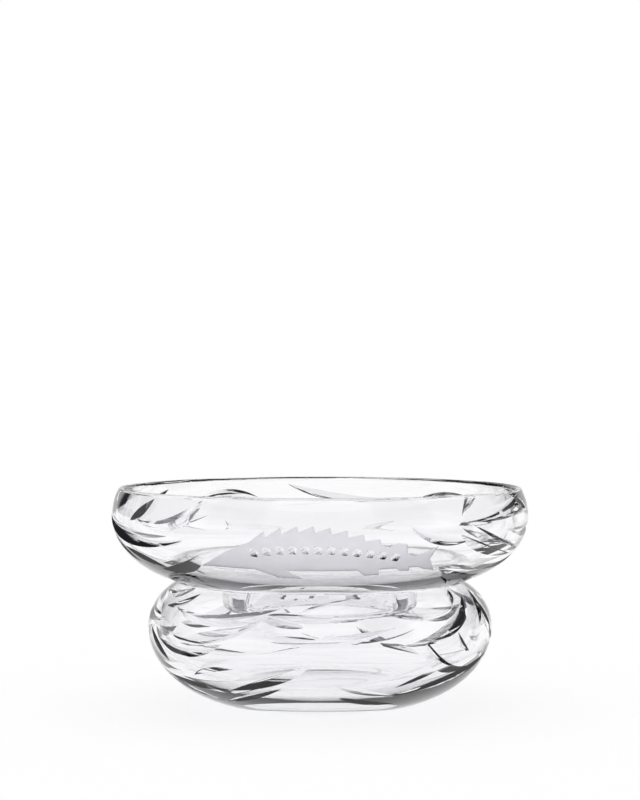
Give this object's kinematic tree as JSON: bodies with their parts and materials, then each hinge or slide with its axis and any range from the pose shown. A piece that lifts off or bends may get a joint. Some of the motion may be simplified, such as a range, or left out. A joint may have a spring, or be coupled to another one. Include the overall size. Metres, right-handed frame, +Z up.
{
  "type": "caviar server",
  "caption": "Cut crystal caviar server: a wide shallow bowl with a fish engraved on its side rests on the rounded rim of a deep ice bowl, both wheel-cut with curved grooves.",
  "frame": {"origin": "middle of the ice bowl's base, on the surface that it stands on", "axes": "+Z up through both bowls, -Y towards the engraved front, +X to the right seen from the front"},
  "size_m": [0.2252, 0.2252, 0.1182],
  "materials": {
    "ice_bowl_crystal": "clear crystal, fire-polished inside, polished mitre cuts outside",
    "caviar_bowl_crystal": "clear crystal, polished mitre cuts outside, frosted engraved figure on the front"
  },
  "bodies": {
    "root": {"ice_bowl": "ice_bowl_crystal", "caviar_bowl": "caviar_bowl_crystal"}
  },
  "joints": []
}
